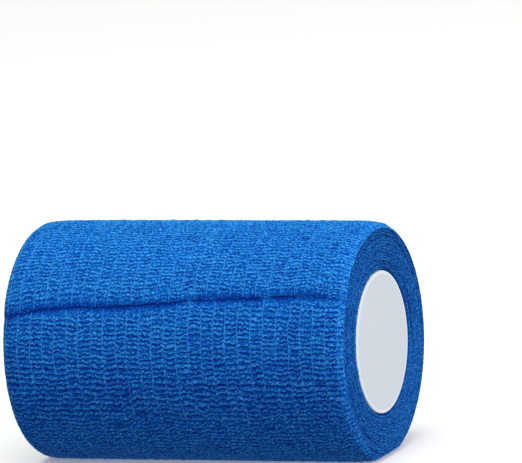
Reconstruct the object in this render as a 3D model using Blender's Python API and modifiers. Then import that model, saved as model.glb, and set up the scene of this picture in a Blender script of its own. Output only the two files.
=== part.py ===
"""Cohesive bandage roll lying on its side: the wound cloth, with its cut end, and the closed core inside it.

Metres, +Z up. The roll's axis runs along X, the floor is z = 0, and the origin is under the roll's middle.
Angles round the axis are counted from the front of the roll (-Y), upwards over its top (+Z).
"""

import math
from collections import namedtuple

import bmesh
import bpy
from mathutils import Matrix

MM = 0.001

# Driving sizes
CLOTH_WIDTH = 75 * MM
ROLL_RADIUS = 25 * MM  # at the cloth's cut end, where the roll is thickest
LAYER_THICKNESS = 0.6 * MM
CORE_RADIUS = 14.6 * MM
CORE_CLEARANCE = 0.3 * MM  # between the core and the first turn
CORE_RECESS = 0.5 * MM  # how far the core's ends lie inside the cloth's
CORE_EDGE_RADIUS = 0.25 * MM
REST_DEPTH = 0.8 * MM  # what the roll's own weight presses flat: a spot about 12 mm wide
UNEVENNESS = 0.12 * MM  # slow swell and slack of the hand-wound turns
LAST_TURN_SET_IN = 0.25 * MM  # the last turn's selvedge lies this far inside the end plane
UNDERSIDE_DEG = 270
TURN_SEGMENTS = 84
SIDE_SPANS = 12  # sections between the two shoulders
MERGE_DISTANCE = 0.01 * MM
SMOOTH_BELOW_DEG = 40  # edges sharper than this stay sharp

HALF_WIDTH = CLOTH_WIDTH / 2
BORE_RADIUS = CORE_RADIUS + CORE_CLEARANCE

# Where the cloth's cut end lies: it slants and wanders over the roll's width.
CutPoint = namedtuple("CutPoint", "across_mm angle_deg")
CUT_END = (
    CutPoint(-37.5, 23.6),
    CutPoint(-30.0, 27.0),
    CutPoint(-21.0, 28.8),
    CutPoint(-13.0, 28.4),
    CutPoint(-4.0, 29.8),
    CutPoint(8.0, 33.0),
    CutPoint(20.0, 33.3),
    CutPoint(29.0, 34.5),
    CutPoint(37.5, 32.8),
)

# The wound end from the bore outwards: how deep each ring of turns lies below the end plane.
FaceRing = namedtuple("FaceRing", "radius_mm sunk_mm")
WOUND_END = (
    FaceRing(BORE_RADIUS / MM, 0.60),
    FaceRing(15.9, 0.20),
    FaceRing(17.2, 0.0),
    FaceRing(20.2, 0.0),
    FaceRing(21.2, 0.10),
    FaceRing(21.9, 0.28),
    FaceRing(22.7, 0.06),
)

# The soft shoulder, from the end plane inwards: how far the outer radius drops there.
ShoulderRing = namedtuple("ShoulderRing", "inside_mm drop_mm")
SHOULDER = (
    ShoulderRing(0.10, 1.45),
    ShoulderRing(0.50, 0.95),
    ShoulderRing(1.30, 0.45),
    ShoulderRing(3.00, 0.15),
    ShoulderRing(6.00, 0.03),
)

# The roll isn't turned on a lathe: slow waves run round it, and lean a little along it.
Wave = namedtuple("Wave", "share waves_round start lean")
WAVES = (
    Wave(0.5, 2, 0.6, 0.0),
    Wave(0.3, 3, -1.9, 1.4),
    Wave(0.2, 5, 0.0, 2.2),
)

# One point of the closed section through the cloth. loose is 1 where the point follows the outer turn.
SectionPoint = namedtuple("SectionPoint", "across radius drop loose")


def between(table, place, column, value):
    """Reads a table between its rows, easing in and out of each."""
    rows = sorted(table, key=lambda row: getattr(row, column))
    if place <= getattr(rows[0], column):
        return getattr(rows[0], value)
    for low, high in zip(rows, rows[1:]):
        start, end = getattr(low, column), getattr(high, column)
        if place <= end:
            share = (place - start) / (end - start)
            eased = share * share * (3 - 2 * share)
            return getattr(low, value) + (getattr(high, value) - getattr(low, value)) * eased
    return getattr(rows[-1], value)


def wound_section():
    """The closed outline that one turn carries round the axis, from the bore over one end to the other."""
    right = [
        SectionPoint(HALF_WIDTH - ring.sunk_mm * MM, ring.radius_mm * MM, 0.0, 0)
        for ring in WOUND_END
    ]
    right += [
        SectionPoint(HALF_WIDTH - ring.inside_mm * MM, 0.0, ring.drop_mm * MM, 1)
        for ring in SHOULDER
    ]
    left = [point._replace(across=-point.across) for point in reversed(right)]
    side_end = right[-1].across
    side = [
        SectionPoint(side_end * (1 - 2 * step / SIDE_SPANS), 0.0, 0.0, 1)
        for step in range(1, SIDE_SPANS)
    ]
    return right + side + left


def swell(angle, across):
    """How far the outer turn stands out or lies in at a place."""
    along = across / HALF_WIDTH
    return UNEVENNESS * sum(
        wave.share * math.sin(wave.waves_round * angle + wave.start + wave.lean * along) for wave in WAVES
    )


def wound_point(turn, point):
    """Where a section's point lies after a share of the last turn, from 0 at the cut end to 1 under it."""
    cut_angle = math.radians(between(CUT_END, point.across / MM, "across_mm", "angle_deg"))
    middle_angle = math.radians(between(CUT_END, 0.0, "across_mm", "angle_deg"))
    depth = (ROLL_RADIUS - point.radius) / (ROLL_RADIUS - BORE_RADIUS)
    follows_cut = 1.0 if point.loose else max(0.0, 1.0 - depth)
    angle = middle_angle + (cut_angle - middle_angle) * follows_cut + math.tau * turn
    radius, across = point.radius, point.across
    if point.loose:
        outer = ROLL_RADIUS - LAYER_THICKNESS * turn
        radius = outer - point.drop + swell(angle, across)
        set_in = LAST_TURN_SET_IN * (1 - turn) if point.drop > 0 else 0.0
        across -= math.copysign(set_in, across)
    return across, -radius * math.cos(angle), radius * math.sin(angle)


def wound_cloth(material):
    """A grid of turn by section, bent round the axis and sewn up: its last column closes the cut end's step."""
    section = wound_section()
    columns, rows = TURN_SEGMENTS + 1, len(section)
    sheet = bmesh.new()
    bmesh.ops.create_grid(sheet, x_segments=columns, y_segments=rows, size=0.5)
    for vert in sheet.verts:
        column = round((vert.co.x + 0.5) * columns)
        row = round((vert.co.y + 0.5) * rows)
        turn = 0.0 if column == columns else column / TURN_SEGMENTS
        vert.co = wound_point(turn, section[row % rows])
    underside_turn = (UNDERSIDE_DEG - between(CUT_END, 0.0, "across_mm", "angle_deg")) / 360
    floor = -(ROLL_RADIUS - LAYER_THICKNESS * underside_turn - REST_DEPTH)
    for vert in sheet.verts:
        vert.co.z = max(vert.co.z, floor)
    bmesh.ops.remove_doubles(sheet, verts=sheet.verts, dist=MERGE_DISTANCE)
    bmesh.ops.recalc_face_normals(sheet, faces=sheet.faces)
    return finished(sheet, "wound_cloth", material)


def closed_core(material):
    """The plain closed core that the cloth is wound on, a little shorter than the cloth is wide."""
    core = bmesh.new()
    bmesh.ops.create_cone(
        core,
        cap_ends=True,
        segments=TURN_SEGMENTS,
        radius1=CORE_RADIUS,
        radius2=CORE_RADIUS,
        depth=CLOTH_WIDTH - 2 * CORE_RECESS,
    )
    bmesh.ops.rotate(core, verts=core.verts, matrix=Matrix.Rotation(math.radians(90), 3, "Y"))
    piece = finished(core, "core", material)
    rounded = piece.modifiers.new("softened_edge", "BEVEL")
    rounded.width = CORE_EDGE_RADIUS
    rounded.segments = 2
    return piece


def finished(shape, name, material):
    """Makes the bmesh an object with its material, smooth but for its sharp edges."""
    mesh = bpy.data.meshes.new(name)
    shape.to_mesh(mesh)
    shape.free()
    mesh.materials.append(material)
    mesh.shade_smooth()
    mesh.set_sharp_from_angle(angle=math.radians(SMOOTH_BELOW_DEG))
    return bpy.data.objects.new(name, mesh)


def plain_material(name, colour, roughness):
    material = bpy.data.materials.new(name)
    material.use_nodes = True
    shader = material.node_tree.nodes["Principled BSDF"]
    shader.inputs["Base Color"].default_value = (*colour, 1)
    shader.inputs["Roughness"].default_value = roughness
    shader.inputs["Metallic"].default_value = 0.0
    return material


def main():
    for old in list(bpy.data.objects):
        bpy.data.objects.remove(old)
    roll = bpy.data.collections.new("cohesive_bandage_roll")
    bpy.context.scene.collection.children.link(roll)
    cloth = wound_cloth(plain_material("blue_crinkled_cloth", (0.012, 0.12, 0.45), 0.85))
    core = closed_core(plain_material("pale_core", (0.65, 0.70, 0.75), 0.6))
    # The axis hangs where the flat spot meets the floor and the roll's sides lie evenly about the origin.
    axis = bpy.data.objects.new("roll_axis", None)
    corners = [vert.co for vert in cloth.data.vertices]
    axis.location.y = -(min(c.y for c in corners) + max(c.y for c in corners)) / 2
    axis.location.z = -min(c.z for c in corners)
    for piece in (axis, cloth, core):
        roll.objects.link(piece)
    for piece in (cloth, core):
        piece.parent = axis


main()
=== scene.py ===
import math

import bmesh
import bpy
import numpy as np
from mathutils import Matrix, Vector


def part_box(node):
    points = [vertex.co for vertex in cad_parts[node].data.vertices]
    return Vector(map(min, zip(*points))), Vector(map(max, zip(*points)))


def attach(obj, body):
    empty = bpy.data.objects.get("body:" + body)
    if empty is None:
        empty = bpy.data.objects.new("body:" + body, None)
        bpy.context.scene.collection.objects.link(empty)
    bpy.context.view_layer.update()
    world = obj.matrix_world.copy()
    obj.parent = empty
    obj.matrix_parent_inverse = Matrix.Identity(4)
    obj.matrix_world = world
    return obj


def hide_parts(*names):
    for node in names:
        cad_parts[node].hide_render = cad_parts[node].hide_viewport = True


# A roll of blue crinkled cloth wound on its pale closed core.
# Lengths are in millimetres unless a name says otherwise. Angles go round the axis, from the front (-Y)
# up over the top (+Z), and turns are counted inwards from the cloth's cut end.

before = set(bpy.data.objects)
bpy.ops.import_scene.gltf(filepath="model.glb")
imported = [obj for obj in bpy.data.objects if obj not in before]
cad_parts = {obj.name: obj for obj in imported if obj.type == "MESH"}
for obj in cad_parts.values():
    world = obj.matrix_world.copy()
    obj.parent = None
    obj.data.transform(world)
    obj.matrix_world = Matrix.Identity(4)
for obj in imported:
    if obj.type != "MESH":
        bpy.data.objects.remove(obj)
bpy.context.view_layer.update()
mm = 0.001
print("frame loaded:", ", ".join(sorted(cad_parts)))

coreLow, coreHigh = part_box("core")
clothLow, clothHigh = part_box("wound_cloth")

roll = {
    "halfWidth": (clothHigh.x - clothLow.x) / 2 / mm,
    "axisY": (coreLow.y + coreHigh.y) / 2 / mm,
    "axisZ": (coreLow.z + coreHigh.z) / 2 / mm,
    "radius": 25.0,  # at the cut end
    "layer": 0.6,  # from one turn to the next
    "unevenness": 0.12,  # the slow swell and slack of hand-wound turns
    "unevenWaves": [  # share, waves in a turn, start, lean along the roll
        (0.5, 2, 0.6, 0.0), (0.3, 3, -1.9, 1.4), (0.2, 5, 0.0, 2.2),
    ],
    "pressedIn": 0.8,  # where the roll's own weight flattens it
    "pressReach": 3.0,  # how far in from the outside that is felt
    "cutEnd": [  # across, degrees
        (-37.5, 23.6), (-30.0, 27.0), (-21.0, 28.8), (-13.0, 28.4), (-4.0, 29.8),
        (8.0, 33.0), (20.0, 33.3), (29.0, 34.5), (37.5, 32.8),
    ],
}


# Helpers for the shapes

def eased(share):
    share = np.clip(share, 0, 1)
    return share * share * (3 - 2 * share)


def alongTable(table, places):  # reads rows of (place, value), easing from row to row
    starts, values = (np.array(column, float) for column in zip(*table))
    places = np.clip(places, starts[0], starts[-1])
    row = np.clip(np.searchsorted(starts, places, side="right") - 1, 0, len(starts) - 2)
    share = eased((places - starts[row]) / (starts[row + 1] - starts[row]))
    return values[row] + (values[row + 1] - values[row]) * share


def waves(random, places, lines=None):  # soft random waves from -1 to 1, with a knot at each whole number
    count = int(np.max(places)) + 2
    knots = random.uniform(-1, 1, count if lines is None else (lines, count))
    start = np.floor(places).astype(int)
    share = eased(places - start)
    return knots[..., start] * (1 - share) + knots[..., start + 1] * share


def swell(angle, across):
    along = across / roll["halfWidth"]
    return roll["unevenness"] * sum(
        share * np.sin(inTurn * angle + start + lean * along)
        for share, inTurn, start, lean in roll["unevenWaves"]
    )


def roundAxis(across, radius, angle, unpressed, least=0.0):  # gives places in metres
    y = roll["axisY"] - radius * np.cos(angle)
    z = roll["axisZ"] + radius * np.sin(angle)
    outermost = roll["axisZ"] + roll["pressedIn"]
    give = roll["pressedIn"] * np.exp((unpressed - outermost) / roll["pressReach"])
    z = np.maximum(z, np.maximum(roll["axisZ"] - unpressed + give, least))
    return np.stack(np.broadcast_arrays(across, y, z), axis=-1) * mm


making = {"sewWithin": 1e-7, "threadSewWithin": 1e-6, "sharpFrom": 80.0}  # metres, metres, degrees


def woundSheet(name, places, bakeMap, facts):
    # A thin closed sheet from a grid of steps by section points, whose last point repeats its first.
    # facts are values that the finishes read, one for each point of the grid.
    steps, count = places.shape[:2]
    shape = bmesh.new()
    bmesh.ops.create_grid(shape, x_segments=count - 1, y_segments=steps - 1, size=0.5)
    mesh = bpy.data.meshes.new(name)
    shape.to_mesh(mesh)
    flat = np.zeros(len(mesh.vertices) * 3)
    mesh.vertices.foreach_get("co", flat)
    flat = flat.reshape(-1, 3)
    column = np.rint((flat[:, 0] + 0.5) * (count - 1)).astype(int)
    step = np.rint((flat[:, 1] + 0.5) * (steps - 1)).astype(int)
    mesh.vertices.foreach_set("co", places[step, column].ravel())
    for label, values in facts.items():
        kind, key = ("FLOAT", "value") if values.ndim == 2 else ("FLOAT_VECTOR", "vector")
        mesh.attributes.new(label, kind, "POINT").data.foreach_set(key, values[step, column].ravel())
    corners = np.zeros(len(mesh.loops), np.int32)
    mesh.loops.foreach_get("vertex_index", corners)
    corners = corners.reshape(-1, 4)
    drawn = mesh.uv_layers.new(name="OFBake")
    drawn.uv.foreach_set("vector", bakeMap(step[corners], column[corners]).ravel())
    shape.clear()
    shape.from_mesh(mesh)
    shape.verts.ensure_lookup_table()
    seam = [shape.verts[i] for i in np.flatnonzero((column == 0) | (column == count - 1))]
    bmesh.ops.remove_doubles(shape, verts=seam, dist=making["sewWithin"])
    rim = [edge for edge in shape.edges if edge.is_boundary]
    ends = bmesh.ops.holes_fill(shape, edges=rim, sides=0)["faces"]
    bmesh.ops.triangulate(shape, faces=ends)
    bmesh.ops.recalc_face_normals(shape, faces=shape.faces)
    shape.to_mesh(mesh)
    shape.free()
    mesh.shade_smooth()
    mesh.set_sharp_from_angle(angle=math.radians(making["sharpFrom"]))
    piece = bpy.data.objects.new(name, mesh)
    bpy.context.scene.collection.objects.link(piece)
    print(f"{name}: {len(mesh.polygons)} faces")
    return piece


# Shader maths: sockets that add, subtract and multiply as numbers do

class Wire:
    def __init__(self, finish, socket):
        self.finish = finish
        self.socket = socket

    def math(self, operation, first, second=0.0):
        return self.finish.node("ShaderNodeMath", {"operation": operation}, {0: first, 1: second})

    def __add__(self, other):
        return self.math("ADD", self, other)

    __radd__ = __add__

    def __sub__(self, other):
        return self.math("SUBTRACT", self, other)

    def __rsub__(self, other):
        return self.math("SUBTRACT", other, self)

    def __mul__(self, other):
        return self.math("MULTIPLY", self, other)

    __rmul__ = __mul__

    def __truediv__(self, other):
        return self.math("DIVIDE", self, other)

    def __pow__(self, other):
        return self.math("POWER", self, other)

    def clamped(self):
        return self.finish.node("ShaderNodeClamp", {}, {"Value": self})


class Finish:
    def __init__(self, tree):
        self.tree = tree
        tree.nodes.clear()

    def node(self, kind, settings=None, values=None, output=0):
        made = self.tree.nodes.new(kind)
        for name, setting in (settings or {}).items():
            if name == "stops":
                self.setStops(made.color_ramp, setting)
            else:
                setattr(made, name, setting)
        for name, value in (values or {}).items():
            if isinstance(value, Wire):
                self.tree.links.new(value.socket, made.inputs[name])
            else:
                made.inputs[name].default_value = value
        return Wire(self, made.outputs[output] if made.outputs else None)

    def setStops(self, ramp, stops):
        while len(ramp.elements) < len(stops):
            ramp.elements.new(1.0)
        for element, (place, colour) in zip(ramp.elements, stops):
            element.position = place
            element.color = (*colour, 1)

    def objectPlace(self, scale):  # Object coordinates, times scale
        place = self.node("ShaderNodeTexCoord", output="Object")
        return self.node("ShaderNodeVectorMath", {"operation": "SCALE"}, {0: place, "Scale": scale})

    def noise(self, place, scale, detail=2.0, roughness=0.5):
        values = {"Vector": place, "Scale": scale, "Detail": detail, "Roughness": roughness}
        return self.node("ShaderNodeTexNoise", {}, values)

    def fact(self, label, output="Fac"):
        return self.node("ShaderNodeAttribute", {"attribute_name": label}, output=output)

    def mixed(self, share, first, second):  # two colours
        rgba = [colour if isinstance(colour, Wire) else (*colour, 1) for colour in (first, second)]
        values = {0: share, 6: rgba[0], 7: rgba[1]}
        return self.node("ShaderNodeMix", {"data_type": "RGBA"}, values, output=2)

    def bump(self, height, distance, strength=1.0):
        values = {"Height": height, "Distance": distance, "Strength": strength}
        return self.node("ShaderNodeBump", {}, values)

    def surface(self, values):
        shader = self.node("ShaderNodeBsdfPrincipled", {}, values)
        self.node("ShaderNodeOutputMaterial", {}, {"Surface": shader})


def newFinish(name):
    material = bpy.data.materials.new(name)
    material.use_nodes = True
    return material, Finish(material.node_tree)


# The last turn: crinkled between its elastic threads, and lying over the rest with its cut end at the front

lastTurn = {
    "seed": 17,
    "crimps": 160,  # ridges from the cut end round to the tail that it covers
    "crimpPitch": [  # crimp, millimetres
        (0, 0.87), (35, 0.87), (60, 1.0), (108, 1.05), (120, 1.2), (135, 1.2), (143, 1.0), (160, 1.0),
    ],
    "columns": 27,  # between one elastic thread and the next
    "threadPitch": 2.7,
    "threadDrift": 0.7,  # how far the threads wander across in the turn
    "driftPower": 8,  # how suddenly that ends at the selvedges
    "edge": 37.3,  # the selvedge, from the middle
    "shoulder": [(0.95, 0.5), (0.55, 2.2)],  # drop at the selvedge, and how far in it is felt
    "thickness": 0.42,
    "pitDepth": 0.33,
    "faceUneven": 0.06,
    "cutEdgeWave": 0.30,
    "cutEdgeWaves": [(2.1, 1.0), (0.8, 0.5)],  # length, share
    "cutEdgeWaveFades": 2.5,  # crimps
    "cutEdgeSet": 12.0,  # crimps over which they turn from along the cut to along the axis
    "clings": [  # across, how firmly the cut end is pressed on there: how deep the groove below it is, and how dark its painted shadow
        (-37.5, 0.8), (-35.0, 0.9), (-25.0, 0.95), (-10.0, 0.9), (1.5, 0.85), (4.0, 0.4), (6.0, 1.0),
        (18.5, 1.0), (20.7, 0.4), (23.0, 0.9), (31.0, 0.85), (35.0, 0.45), (37.5, 0.35),
    ],
    "dip": 0.26,  # how far the cut end sinks towards the turn below
    "dipReach": 1.6,
    "groove": 0.19,  # how deep it has pressed into the turn below
    "grooveWidth": 1.4,
    "paintedGrooveShadow": 1.15,  # painted shadow in it, below the cut end, as a share of a pit's painted shade
    "softEdge": 0.31,  # how much thinner its last fibres are pressed
    "softEdgeReach": 0.75,
    # painted shade along the cut end's thinned last fibres
    "paintedSoftEdgeShade": 0.81,
    "selvedgePoints": [0.0, 0.20],  # in from the edge
    "selvedgePits": [0.5, 0.85],  # how far the pits beside them run on
    # painted shade on the hidden face and on the cut end's wall
    "paintedUndersideShade": 0.55,
    "undersidePoints": [0.0, 0.40, 1.60],
    "undersideMiddle": [22.0, 0.0, -20.0],  # across: there it follows the cut end
}


def shoulderDrop(inFromEdge):  # the selvedge curls in over the end
    return sum(drop * np.exp(-inFromEdge / reach) for drop, reach in lastTurn["shoulder"])


def shoulderSlope(inFromEdge):
    return sum(drop / reach * np.exp(-inFromEdge / reach) for drop, reach in lastTurn["shoulder"])


def underSelvedge(inFromEdge):  # the cloth's other face there: (in from the edge, drop)
    lean = np.arctan(shoulderSlope(inFromEdge))
    thickness = lastTurn["thickness"]
    return inFromEdge + thickness * np.sin(lean), shoulderDrop(inFromEdge) + thickness * np.cos(lean)


def undersideCount():
    return 2 * len(lastTurn["undersidePoints"]) + len(lastTurn["undersideMiddle"])


# Between two threads a crimp is a ridge and the pit behind it. Lengths here are shares of a crimp's pitch,
# and "over" is in crimps. "single" is the share of a wave that each crimp has for itself.
crimpShape = {
    "rows": [0.0, 0.40, 0.76],  # the ridge, and the two sides of the pit's bottom
    "shares": [0.08, 0.25, 0.42, 0.58, 0.75, 0.92],  # points across a column
    "reach": [  # how deep the pit is at each of them, from and to
        (0.55, 1.0), (0.7, 1.0), (0.8, 1.0), (0.8, 1.0), (0.7, 1.0), (0.55, 1.0),
    ],
    "straight": {"atCut": 0.45, "over": 3},  # how much of its waviness the cloth keeps at the cut end
    "rowWander": {"size": 0.40, "over": 11},  # a whole row's
    "wander": {"size": 0.55, "over": 5, "single": 0.21},  # a column's
    "likeNeighbour": [(0, 0.2), (108, 0.3), (120, 0.8), (135, 0.8), (145, 0.3), (160, 0.2)],  # crimp, share
    "neighbourPull": 0.67,
    "tilt": {"size": 0.33, "over": 2, "single": 0.3},
    "bow": {"size": 0.52, "over": 3, "single": 0.25},
    "bowLevel": 0.5,
    "ragged": 0.30,
    "waviness": [  # crimp, share of tilt, bow and ragged
        (0, 1.0), (100, 1.0), (114, 1.6), (126, 1.4), (142, 1.0), (160, 1.0),
    ],
    "meetsFrom": 0.3,  # past this share of a half column, a ridge turns to meet its neighbour
    "meets": 0.55,
    "threadSway": {"size": 0.22, "over": 3, "single": 0.4},  # millimetres
    "threadApart": 0.24,  # how far a whole thread may lie off its place, millimetres
    "depth": (0.72, 1.0),
    "depthAlong": [  # crimp, share
        (0, 0.85), (45, 0.78), (105, 0.95), (120, 1.06), (138, 1.08), (146, 0.96), (160, 0.94),
    ],
    "broken": 0.06,  # share of the ridges
    "brokenDepth": (0.2, 0.45),
    "slant": (0.32, 0.62),  # how much less deep the pit is on its first side
    "joined": [  # crimp, share of the pits that run on under a thread
        (0, 0.75), (60, 0.8), (115, 0.85), (138, 0.85), (146, 0.8), (160, 0.75),
    ],
    "joinedDepth": (0.45, 0.85),
}


def crimpedFace():
    # For each step round the turn and each point across: crimp place, place across, shift along the turn,
    # shift across it, depth of pit (also its painted shade), and whether it lies on a thread.
    random = np.random.default_rng(lastTurn["seed"])
    crimps, columns, shape = lastTurn["crimps"], lastTurn["columns"], crimpShape
    place = np.append((np.arange(crimps)[:, None] + np.array(shape["rows"])).ravel(), crimps)
    crimp = np.minimum(place.astype(int), crimps - 1)
    row = np.append(np.tile(np.arange(len(shape["rows"])), crimps), 0)
    centres = np.arange(crimps) + 0.5
    atCut = shape["straight"]["atCut"]
    nearCut = atCut + (1 - atCut) * eased(centres / shape["straight"]["over"])
    shares = np.array(shape["shares"])
    fromMiddle = 2 * shares - 1

    def each(spread, *sizes):
        return random.uniform(-spread, spread, sizes)

    def uneven(form, lines):  # soft waves from crimp to crimp, but for the share that is each one's own
        soft = (1 - form["single"]) * waves(random, centres / form["over"], lines)
        return form["size"] * (soft + each(form["single"], lines, crimps))

    wander, rowWander = shape["wander"], shape["rowWander"]
    own = wander["size"] * waves(random, centres / wander["over"], columns)
    own += each(wander["single"], columns, crimps)
    beside = (np.roll(own, 1, axis=0) + np.roll(own, -1, axis=0)) / 2
    own += (beside - own) * shape["neighbourPull"] * alongTable(shape["likeNeighbour"], centres)
    own += rowWander["size"] * waves(random, centres / rowWander["over"])
    own *= nearCut
    wavy = alongTable(shape["waviness"], centres)
    tilt = wavy * uneven(shape["tilt"], columns)
    bow = wavy * uneven(shape["bow"], columns)
    ragged = each(shape["ragged"], len(shares), columns, crimps) * nearCut * wavy
    depth = random.uniform(*shape["depth"], (columns, crimps))
    depth = depth * alongTable(shape["depthAlong"], centres)
    slant = random.uniform(*shape["slant"], (columns, crimps))
    reach = np.array([random.uniform(*span, (columns, crimps)) for span in shape["reach"]])
    joined = random.random((columns + 1, crimps)) < alongTable(shape["joined"], centres)
    joined = joined * random.uniform(*shape["joinedDepth"], (columns + 1, crimps))
    sway = uneven(shape["threadSway"], columns + 1) + each(shape["threadApart"], columns + 1, 1)
    broken = random.random((columns, crimps)) < shape["broken"]
    broken = broken * random.uniform(*shape["brokenDepth"], (columns, crimps))
    bottom = np.stack([broken, 1 - slant, np.ones_like(slant)])  # row, column, crimp

    left = -lastTurn["threadPitch"] * columns / 2
    across, shift, sideways, pit, thread = [], [], [], [], []
    for line in range(columns + 1):
        before, column = max(line - 1, 0), min(line, columns - 1)
        threadShift = (own[before] + own[column]) / 2
        under = joined[line] * np.minimum(depth[before], depth[column])
        across.append(left + line * lastTurn["threadPitch"])
        shift.append(threadShift)
        sideways.append(sway[line])
        pit.append(bottom[row, column, crimp] * under[crimp])
        thread.append(True)
        if line == columns:
            break
        nextShift = (own[column] + own[min(line + 1, columns - 1)]) / 2
        for point, share in enumerate(shares):
            off = fromMiddle[point]
            meets = max(0.0, abs(off) - shape["meetsFrom"]) * shape["meets"]
            beside = threadShift if off < 0 else nextShift
            curve = tilt[column] * off + bow[column] * (shape["bowLevel"] - off ** 2)
            deep = depth[column] * reach[point, column]
            across.append(left + (line + share) * lastTurn["threadPitch"])
            shift.append(own[column] * (1 - meets) + beside * meets + curve + ragged[point, column])
            sideways.append(sway[line] * (1 - share) + sway[line + 1] * share)
            pit.append(bottom[row, column, crimp] * deep[crimp])
            thread.append(False)

    def atSteps(values):
        return np.stack([np.interp(place, centres, line) for line in values], axis=1)

    return place, np.array(across), atSteps(shift), atSteps(sideways), np.array(pit).T, np.array(thread)


def lastTurnSection():
    # The whole closed section at each step: the crimped face, both selvedges and the hidden face
    place, across, shift, sideways, pit, thread = crimpedFace()
    edge = lastTurn["edge"]
    inFrom = np.array(lastTurn["selvedgePoints"])
    under = np.array([underSelvedge(d) for d in lastTurn["undersidePoints"]])
    middle = np.array(lastTurn["undersideMiddle"])
    back = np.concatenate([edge - under[:, 0], middle, under[::-1, 0] - edge])
    across = np.concatenate([inFrom - edge, across, edge - inFrom[::-1], back])
    hidden = len(back)
    aside = np.zeros(len(inFrom), bool)
    thread = np.concatenate([aside, thread, aside, np.zeros(hidden, bool)])

    def widened(values, nearest, shares, back):  # the selvedges repeat a share of a column beside them
        left, right = values[:, [nearest]], values[:, [-1 - nearest]]
        blocks = [left * shares, values, right * shares[::-1], np.zeros((len(place), hidden)) + back]
        return np.concatenate(blocks, axis=1)

    shift = widened(shift, 0, np.ones(len(inFrom)), 0.0)
    sideways = widened(sideways, 0, np.zeros(len(inFrom)), 0.0)
    # the hidden face takes a painted shade
    pit = widened(pit, 1, np.array(lastTurn["selvedgePits"]), lastTurn["paintedUndersideShade"])
    drop = shoulderDrop(edge - np.abs(across))
    flatBack = np.full(len(middle), lastTurn["thickness"])
    drop[-hidden:] = np.concatenate([under[:, 1], flatBack, under[::-1, 1]])
    closed = [
        np.concatenate([values, values[..., :1]], axis=-1)
        for values in (across, shift, sideways, pit, thread, drop)
    ]
    return place, *closed


def lastTurnPlaces():
    place, across, shift, sideways, pit, thread, drop = lastTurnSection()
    random = np.random.default_rng(lastTurn["seed"] + 1)
    hidden = undersideCount()
    middleAngle = math.radians(alongTable(roll["cutEnd"], 0.0))
    cutAngle = np.radians(alongTable(roll["cutEnd"], across))
    follows = np.exp(-place / lastTurn["cutEdgeSet"])[:, None]
    pitch = alongTable(lastTurn["crimpPitch"], place)
    arc = np.cumsum(pitch * np.diff(place, prepend=0))[:, None] + pitch[:, None] * shift
    fromEdge = across + lastTurn["edge"]
    edgeWave = sum(share * waves(random, fromEdge / length) for length, share in lastTurn["cutEdgeWaves"])
    fading = np.exp(-place / lastTurn["cutEdgeWaveFades"])[:, None]
    arc = arc + lastTurn["cutEdgeWave"] * edgeWave * fading
    arcRadius = roll["radius"] - roll["layer"] / 2
    angle = middleAngle + (cutAngle - middleAngle) * follows + arc / arcRadius
    turn = (angle - middleAngle) / math.tau
    driftShare = (1 - turn) * (1 - (np.abs(across) / lastTurn["edge"]) ** lastTurn["driftPower"])
    across = across + lastTurn["threadDrift"] * driftShare + sideways
    unpressed = roll["radius"] - roll["layer"] * turn - drop
    clings = alongTable(lastTurn["clings"], across)
    fromCut = np.maximum(arc, 0)
    dip = lastTurn["dip"] * np.exp(-fromCut / lastTurn["dipReach"])
    belowCut = (cutAngle + math.tau - angle) * arcRadius
    pressed = clings * np.exp(-(belowCut / lastTurn["grooveWidth"]) ** 2)
    pressed[:, -hidden - 1: -1] = 0
    soft = np.exp(-fromCut / lastTurn["softEdgeReach"])
    # painted shadow in the groove under the cut end
    pit = np.maximum(pit * (1 - pressed), lastTurn["paintedGrooveShadow"] * pressed)
    # painted shade along the cut end's soft edge
    pit = np.maximum(pit, lastTurn["paintedSoftEdgeShade"] * soft * clings)
    plain = unpressed + swell(angle, across) - dip - lastTurn["groove"] * pressed
    face = plain - lastTurn["softEdge"] * soft
    uneven = random.uniform(-lastTurn["faceUneven"], lastTurn["faceUneven"], arc.shape)
    uneven[:, -1] = uneven[:, 0]
    radius = face - lastTurn["pitDepth"] * pit * (1 - pressed) * (1 - soft) + uneven
    radius[:, -hidden - 1: -1] = plain[:, -hidden - 1: -1]
    return {
        "places": roundAxis(across, radius, angle, unpressed),
        "across": across, "radius": face, "angle": angle, "unpressed": unpressed,
        "arc": arc, "pit": pit, "thread": thread, "pressed": pressed,
    }


def makeLastTurn():
    made = lastTurnPlaces()
    steps, count = made["pit"].shape
    hidden = undersideCount()
    faceShare = 0.96  # of the map's width, for the face that shows
    onFace = np.linspace(0, faceShare, count - hidden - 1)
    alongSection = np.concatenate([onFace, np.linspace(faceShare, 1, hidden + 2)[1:]])

    def bakeMap(step, column):
        return np.stack([alongSection[column], step / (steps - 1)], axis=-1)

    cloth = np.stack([made["across"], made["arc"], np.zeros_like(made["arc"])], axis=-1)
    return woundSheet("lastTurn", made["places"], bakeMap, {"pit": made["pit"], "cloth": cloth}), made


# The elastic threads: they run round the roll on the last turn's face and bridge its pits

threads = {
    "seed": 8,
    "radius": 0.08,
    "rise": [  # degrees round the roll, a thread's middle over the cloth's face
        (30.0, 0.0), (45.0, 0.05), (75.0, 0.05), (92.0, -0.05), (200.0, -0.10), (280.0, -0.28),
        (335.0, -0.28), (352.0, -0.20), (368.0, -0.10), (380.0, -0.06), (400.0, -0.08),
    ],
    "weave": 0.13,  # how far it comes up and goes down in the cloth
    "weaveWaves": [(10, 0.7), (3, 0.6)],  # points, share
    "underCut": 0.20,  # how much deeper it lies where the cut end has pressed it in
    "sway": 0.10,
    "swayOver": 9,  # points
    "stride": 2,  # steps of the cloth for each point of a thread
}


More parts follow.
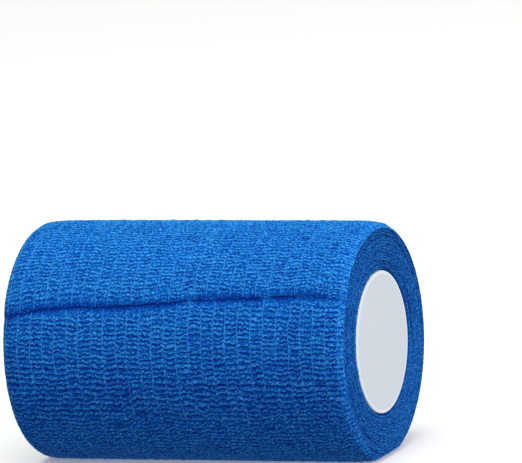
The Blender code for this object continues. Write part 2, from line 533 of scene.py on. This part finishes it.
def makeThreads(made):
    line = bpy.data.curves.new("elasticThreads", "CURVE")
    line.dimensions = "3D"
    line.bevel_depth = threads["radius"] * mm
    line.bevel_resolution = 0
    line.use_fill_caps = True
    columns = np.flatnonzero(made["thread"][:-1])
    random = np.random.default_rng(threads["seed"])
    for column in columns:
        across, radius, angle, unpressed, pressed = (
            made[key][::threads["stride"], column]
            for key in ("across", "radius", "angle", "unpressed", "pressed")
        )
        point = np.arange(len(across))
        across = across + threads["sway"] * waves(random, point / threads["swayOver"])
        weave = sum(share * waves(random, point / over) for over, share in threads["weaveWaves"])
        rise = alongTable(threads["rise"], np.degrees(angle)) + threads["weave"] * weave
        rise -= threads["underCut"] * pressed
        places = roundAxis(across, radius + rise, angle, unpressed + rise, threads["radius"])
        spline = line.splines.new("POLY")
        spline.points.add(len(places) - 1)
        spline.points.foreach_set("co", np.append(places, np.ones((len(places), 1)), axis=1).ravel())
    tube = bpy.data.objects.new("threadLine", line)
    bpy.context.scene.collection.objects.link(tube)
    solid = tube.evaluated_get(bpy.context.evaluated_depsgraph_get())
    mesh = bpy.data.meshes.new_from_object(solid)
    mesh.name = "elasticThreads"
    shape = bmesh.new()
    shape.from_mesh(mesh)
    bmesh.ops.remove_doubles(shape, verts=shape.verts, dist=making["threadSewWithin"])
    bmesh.ops.recalc_face_normals(shape, faces=shape.faces)
    shape.to_mesh(mesh)
    shape.free()
    mesh.shade_smooth()
    bpy.data.objects.remove(tube)
    piece = bpy.data.objects.new("elasticThreads", mesh)
    bpy.context.scene.collection.objects.link(piece)
    print(f"elasticThreads: {len(columns)} threads, {len(mesh.polygons)} faces")
    return piece


# The turns under the last one: a true spiral, whose crinkled edges make the roll's two ends

innerTurns = {
    "seed": 5,
    "first": 1.03,  # turns in from the cut end
    "last": 16.2,
    "stepLength": 0.207,
    "thickness": 0.51,
    "crimpPitch": 1.1,
    "crimp": 0.18,
    "crimpPhase": {"size": 1.6, "over": 5},  # radians, crimps
    "crimpShares": (0.7, 0.8),  # of the even wave, of chance
    "ragged": 0.28,  # how unevenly the edges stand
    "raggedShares": (0.5, 0.3, 0.2),  # of this: always there, in short waves, in long waves
    "shortWave": 0.5,  # crimps
    "longWave": 2.5,
    "windingSeed": 31,
    "windingShift": 0.10,  # how far a turn lies to one side
    "windingShifts": 3,  # in a turn
    "bumpsAtCore": 0.2,  # share of the crimp left there
    "insideFrom": 1.0,  # in from the edge
    "bumpsInside": 0.4,  # share of the crimp left past that
    # painted shade: an edge that lies further in is darker
    "raggedShade": 0.6,
    "sunk": [  # at a radius, how deep the edges lie below the end
        (14.9, 0.60), (15.7, 0.20), (17.2, 0.0), (20.2, 0.0), (21.2, 0.10), (21.9, 0.28),
        (22.7, 0.06), (23.1, 0.15), (23.7, 1.00), (24.4, 2.20),
    ],
    "edgePoints": [  # in from the edge, share of the thickness from the middle, share of painted shade (darkest down between the turns)
        (1.50, 0.50, 1.0), (0.14, 0.44, 0.55), (0.0, 0.0, 0.0), (0.14, -0.44, 0.55), (1.50, -0.50, 1.0),
    ],
    "rows": 16,  # of the bake map, one for each turn
    "inRow": [0.0, 0.12, 0.24, 0.36, 0.46, 0.52, 0.62, 0.74, 0.86, 0.96, 1.0],  # the section's points there
}


def makeInnerTurns():
    random = np.random.default_rng(innerTurns["seed"])
    layer, outside = roll["layer"], roll["radius"]
    coreRadius = (coreHigh.z - coreLow.z) / 2 / mm

    def lengthTo(turn):
        return math.tau * (outside * turn - layer * turn * turn / 2)

    start, end = lengthTo(innerTurns["first"]), lengthTo(innerTurns["last"])
    length = np.linspace(start, end, int((end - start) / innerTurns["stepLength"]) + 1)
    turn = (outside - np.sqrt(outside ** 2 - layer * length / math.pi)) / layer
    angle = math.radians(alongTable(roll["cutEnd"], 0.0)) + math.tau * turn
    face = outside - layer * turn
    bore = outside - layer * innerTurns["last"]
    slack = (face - bore) / (outside - bore)
    place = (length - start) / innerTurns["crimpPitch"]
    phase = innerTurns["crimpPhase"]
    shortPlace, longPlace = place / innerTurns["shortWave"], place / innerTurns["longWave"]
    even, chance = innerTurns["crimpShares"]
    always, short, long = innerTurns["raggedShares"]
    across, radius, shade = [], [], []
    for side in (1, -1):
        shiftedPhase = phase["size"] * waves(random, place / phase["over"])
        crimp = even * np.sin(math.tau * place + shiftedPhase) + chance * waves(random, shortPlace)
        crimp = innerTurns["crimp"] * crimp
        uneven = always + short * waves(random, shortPlace) + long * waves(random, longPlace)
        ragged = innerTurns["ragged"] * uneven
        windingRandom = np.random.default_rng(innerTurns["windingSeed"])
        winding = waves(windingRandom, turn * innerTurns["windingShifts"])
        shifted = np.minimum(side * innerTurns["windingShift"] * winding, 0)
        edge = roll["halfWidth"] - alongTable(innerTurns["sunk"], face) - ragged + shifted
        bumps = crimp * np.clip((face - bore) / layer, innerTurns["bumpsAtCore"], 1)
        points = innerTurns["edgePoints"] if side > 0 else innerTurns["edgePoints"][::-1]
        for inFrom, off, dark in points:
            across.append(side * (edge - inFrom))
            inside = inFrom > innerTurns["insideFrom"]
            share = innerTurns["bumpsInside"] if inside else 1
            standing = face - innerTurns["thickness"] * (0.5 - off) + bumps * share
            if inside and off < 0:  # a little way in, the first turn touches the core all round
                standing = np.where(turn > innerTurns["last"] - 1, coreRadius, standing)
            radius.append(standing)
            # painted shade, darker down between the turns and where an edge lies further in
            shade.append(np.clip(dark + innerTurns["raggedShade"] * (uneven - 0.5), 0, 1))
    across, radius, shade = (np.array(rows + rows[:1]).T for rows in (across, radius, shade))
    radius = radius + slack[:, None] * swell(angle[:, None], across)
    places = roundAxis(across, radius, angle[:, None], radius)
    inRow = np.array(innerTurns["inRow"])

    def bakeMap(step, column):
        row = np.floor(turn[step.min(axis=1)] - innerTurns["first"])[:, None]
        around = np.clip(turn[step] - innerTurns["first"] - row, 0, 1)
        return np.stack([around, (row + inRow[column]) / innerTurns["rows"]], axis=-1)

    cloth = np.stack([across, np.broadcast_to(length[:, None], across.shape), radius], axis=-1)
    piece = woundSheet("innerTurns", places, bakeMap, {"pit": shade, "cloth": cloth})
    return piece, (end - start) * mm


# Finishes

# These colours follow the pit attribute: a painted highlight on the ridges, and painted shade that deepens
# down into the pits.
clothLook = {
    "paintedRidgeHighlight": (0.050, 0.365, 0.88),
    "middle": (0.006, 0.155, 0.62),
    "paintedLowShade": (0.001, 0.073, 0.44),
    "pit": (0.000, 0.025, 0.27),
    "worms": (1.8, 2.4, 1.5),  # crinkles to the millimetre: across the cloth, along it, through it
    "shades": [(0.0, "paintedRidgeHighlight"), (0.20, "paintedRidgeHighlight"), (0.40, "middle"), (0.64, "paintedLowShade"), (0.95, "pit")],
    "flatShade": 0.27,
    "pitShade": 0.72,
    "wormShare": 1.2,
    "fibre": 2.7,  # specks to the millimetre
    "fibreShare": 1.35,
    "bump": 0.12 * mm,
    "roughness": 0.85,
    "sheen": 0.08,
    "sheenRoughness": 0.45,
    "sheenTint": (0.10, 0.75, 1.0),
    "shine": 0.06,
}
paintedShadeEdgeLook = {  # the same, but darker: painted shade on the wound ends, between the turns
    "paintedRidgeHighlight": (0.036, 0.232, 0.665),
    "middle": (0.008, 0.136, 0.485),
    "paintedLowShade": (0.003, 0.071, 0.355),
    "pit": (0.001, 0.035, 0.26),
}


def clothFinish(name, look):
    material, finish = newFinish(name)
    place = finish.objectPlace(1 / mm)
    multiply = {"operation": "MULTIPLY"}
    alongCloth = {0: finish.fact("cloth", "Vector"), 1: clothLook["worms"]}
    stretched = finish.node("ShaderNodeVectorMath", multiply, alongCloth)
    worms = finish.noise(stretched, scale=1.0, detail=3.0, roughness=0.6)
    fibres = finish.noise(place, clothLook["fibre"], detail=2.0, roughness=0.6)
    crinkle = clothLook["wormShare"] * (worms - 0.5) + clothLook["fibreShare"] * (fibres - 0.5)
    # painted shade from the pit attribute, plus random crinkle tone: the ramp gives painted highlight on
    # ridges and painted shade in pits
    shade = (clothLook["flatShade"] + clothLook["pitShade"] * finish.fact("pit") + crinkle).clamped()
    stops = [(share, look[tone]) for share, tone in clothLook["shades"]]
    finish.surface({
        "Base Color": finish.node("ShaderNodeValToRGB", {"stops": stops}, {0: shade}),
        "Roughness": clothLook["roughness"],
        "Sheen Weight": clothLook["sheen"],
        "Sheen Roughness": clothLook["sheenRoughness"],
        "Sheen Tint": (*clothLook["sheenTint"], 1),
        "Specular IOR Level": clothLook["shine"],
        "Normal": finish.bump(0 - crinkle, clothLook["bump"]),
    })
    return material


threadLook = {
    "dark": (0.006, 0.155, 0.62),
    "light": (0.05, 0.34, 0.90),
    "fuzz": 6.0,  # specks to the millimetre
    "bump": 0.03 * mm,
    "bumpStrength": 0.6,
    "roughness": 0.8,
    "shine": 0.1,
}


def threadFinish():
    material, finish = newFinish("elasticThread")
    fuzz = finish.noise(finish.objectPlace(1 / mm), threadLook["fuzz"])
    finish.surface({
        "Base Color": finish.mixed(fuzz, threadLook["dark"], threadLook["light"]),
        "Roughness": threadLook["roughness"],
        "Specular IOR Level": threadLook["shine"],
        "Normal": finish.bump(fuzz, threadLook["bump"], threadLook["bumpStrength"]),
    })
    return material


coreLook = {
    "light": (0.76, 0.84, 0.88),
    "dark": (0.72, 0.80, 0.845),
    # painted highlight: a lighter ring round the disc's edge
    "rim": (0.88, 0.97, 1.0),
    "paintedHighlightFrom": 13.8,
    "paintedHighlightTo": 14.0,
    "mottle": 0.9,  # patches to the millimetre
    "mottleBump": 0.5,
    "grain": 7.0,  # specks to the millimetre
    "grainRoughness": 0.15,
    "roughness": 0.6,
    "bump": 0.02 * mm,
    "bumpStrength": 0.5,
    "shine": 0.35,
}


def coreFinish():
    material, finish = newFinish("paleCore")
    place = finish.objectPlace(1 / mm)
    mottle = finish.noise(place, coreLook["mottle"], detail=4.0, roughness=0.6)
    grain = finish.noise(place, coreLook["grain"])
    y = finish.node("ShaderNodeSeparateXYZ", {}, {0: place}, output=1) - roll["axisY"]
    z = finish.node("ShaderNodeSeparateXYZ", {}, {0: place}, output=2) - roll["axisZ"]
    fromAxis = (y * y + z * z) ** 0.5
    # painted highlight round the disc's edge
    rim = ((fromAxis - coreLook["paintedHighlightFrom"]) / (coreLook["paintedHighlightTo"] - coreLook["paintedHighlightFrom"])).clamped()
    mottled = finish.mixed(mottle, coreLook["dark"], coreLook["light"])
    relief = grain + coreLook["mottleBump"] * mottle
    finish.surface({
        "Base Color": finish.mixed(rim, mottled, coreLook["rim"]),
        "Roughness": coreLook["roughness"] + coreLook["grainRoughness"] * (grain - 0.5),
        "Specular IOR Level": coreLook["shine"],
        "Normal": finish.bump(relief, coreLook["bump"], coreLook["bumpStrength"]),
    })
    return material


# The pieces, on their frame

crinkled = clothFinish("crinkledCloth", clothLook)
# the wound ends take the darker colours, a painted shade between the turns
edges = clothFinish("woundEdgesPaintedShade", paintedShadeEdgeLook)

lastTurnPiece, made = makeLastTurn()
lastTurnPiece.data.materials.append(crinkled)
threadPiece = makeThreads(made)
threadPiece.data.materials.append(threadFinish())
innerPiece, innerLength = makeInnerTurns()
innerPiece.data.materials.append(edges)
for piece in (lastTurnPiece, threadPiece, innerPiece):
    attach(piece, "root")
    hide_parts("wound_cloth")

width = 2 * roll["halfWidth"] * mm
lastLength = float(made["arc"].max()) * mm
print(f"cloth: {width / mm:.0f} mm wide, {lastLength + innerLength:.2f} m wound")

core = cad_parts["core"]
core.data.materials.clear()
core.data.materials.append(coreFinish())
print("core finished")


# Floor, light and camera

floor = {"halfSize": 4.0, "colour": (0.96, 0.88, 0.94), "roughness": 0.9, "glow": 0.2}
shape = bmesh.new()
bmesh.ops.create_grid(shape, x_segments=2, y_segments=2, size=floor["halfSize"])
floorMesh = bpy.data.meshes.new("floor")
shape.to_mesh(floorMesh)
shape.free()
floorPiece = bpy.data.objects.new("floor", floorMesh)
bpy.context.scene.collection.objects.link(floorPiece)
floorMaterial, floorFinish = newFinish("paleFloor")
floorFinish.surface({
    "Base Color": (*floor["colour"], 1),
    "Roughness": floor["roughness"],
    "Emission Color": (1, 1, 1, 1),
    "Emission Strength": floor["glow"],
})
floorMesh.materials.append(floorMaterial)
floorPiece.visible_diffuse = False

light = {
    "sky": [  # height from straight down to straight up, colour
        (0.0, (0.240, 0.208, 0.245)), (0.5, (0.395, 0.364, 0.400)), (1.0, (0.530, 0.545, 0.530)),
    ],
    "lamps": [  # name, azimuth and elevation in degrees, distance and size in metres, watts, colour
        ("overheadLight", 0.0, 78.0, 1.3, 1.1, 10.0, (0.90, 1.18, 0.93)),
        ("frontLight", 45.0, 20.0, 1.2, 0.6, 3.2, (1.02, 0.90, 1.00)),
        ("sideLight", 80.0, 20.0, 1.2, 0.6, 4.4, (1.0, 1.0, 1.0)),
    ],
}
world = bpy.data.worlds.new("studio")
bpy.context.scene.world = world
world.use_nodes = True
sky = Finish(world.node_tree)
direction = sky.node("ShaderNodeTexCoord", output="Generated")
height = sky.node("ShaderNodeSeparateXYZ", {}, {0: direction}, output=2)
skyColour = sky.node("ShaderNodeValToRGB", {"stops": light["sky"]}, {0: height * 0.5 + 0.5})
background = sky.node("ShaderNodeBackground", {}, {"Color": skyColour, "Strength": 1.0})
sky.node("ShaderNodeOutputWorld", {}, {"Surface": background})


def seenFrom(azimuth, elevation):  # the direction from the object, azimuth 0 at the front and 90 at +X
    a, e = math.radians(azimuth), math.radians(elevation)
    return Vector((math.sin(a) * math.cos(e), -math.cos(a) * math.cos(e), math.sin(e)))


middle = Vector((0, 0, roll["axisZ"] * mm))
for name, azimuth, elevation, distance, size, watts, colour in light["lamps"]:
    lamp = bpy.data.lights.new(name, "AREA")
    lamp.shape = "SQUARE"
    lamp.size = size
    lamp.energy = watts
    lamp.color = colour
    lampPiece = bpy.data.objects.new(name, lamp)
    back = seenFrom(azimuth, elevation)
    lampPiece.location = middle + back * distance
    lampPiece.rotation_euler = back.to_track_quat("Z", "Y").to_euler()
    lampPiece.visible_camera = False
    bpy.context.scene.collection.objects.link(lampPiece)

view = {
    "azimuth": 22.1,
    "elevation": 10.0,
    "lens": 600.0,
    "sensor": 36.0,
    "frame": (522, 463),  # pixels
    "pixelsToMm": 4.87,
    "rollMiddle": (214.6, 340.9),  # where the roll's middle shows, in pixels from the frame's top left
}
back = seenFrom(view["azimuth"], view["elevation"])
right = Vector((math.cos(math.radians(view["azimuth"])), math.sin(math.radians(view["azimuth"])), 0))
up = back.cross(right)
# the camera is turned about its own line of sight until the roll's axis lies level in the frame
level = math.atan2(-up.x, right.x)
right, up = right * math.cos(level) - up * math.sin(level), up * math.cos(level) + right * math.sin(level)
offRight = (view["frame"][0] / 2 - view["rollMiddle"][0]) / view["pixelsToMm"] * mm
offUp = (view["rollMiddle"][1] - view["frame"][1] / 2) / view["pixelsToMm"] * mm
distance = view["frame"][0] * view["lens"] / view["sensor"] / view["pixelsToMm"] * mm
camera = bpy.data.cameras.new("camera")
camera.lens = view["lens"]
camera.sensor_width = view["sensor"]
cameraPiece = bpy.data.objects.new("camera", camera)
bpy.context.scene.collection.objects.link(cameraPiece)
turned = Matrix((right, up, back)).transposed().to_4x4()
standpoint = middle + right * offRight + up * offUp + back * distance
cameraPiece.matrix_world = Matrix.Translation(standpoint) @ turned
bpy.context.scene.camera = cameraPiece
bpy.context.scene.view_settings.view_transform = "Standard"
print("floor, light and camera ready")
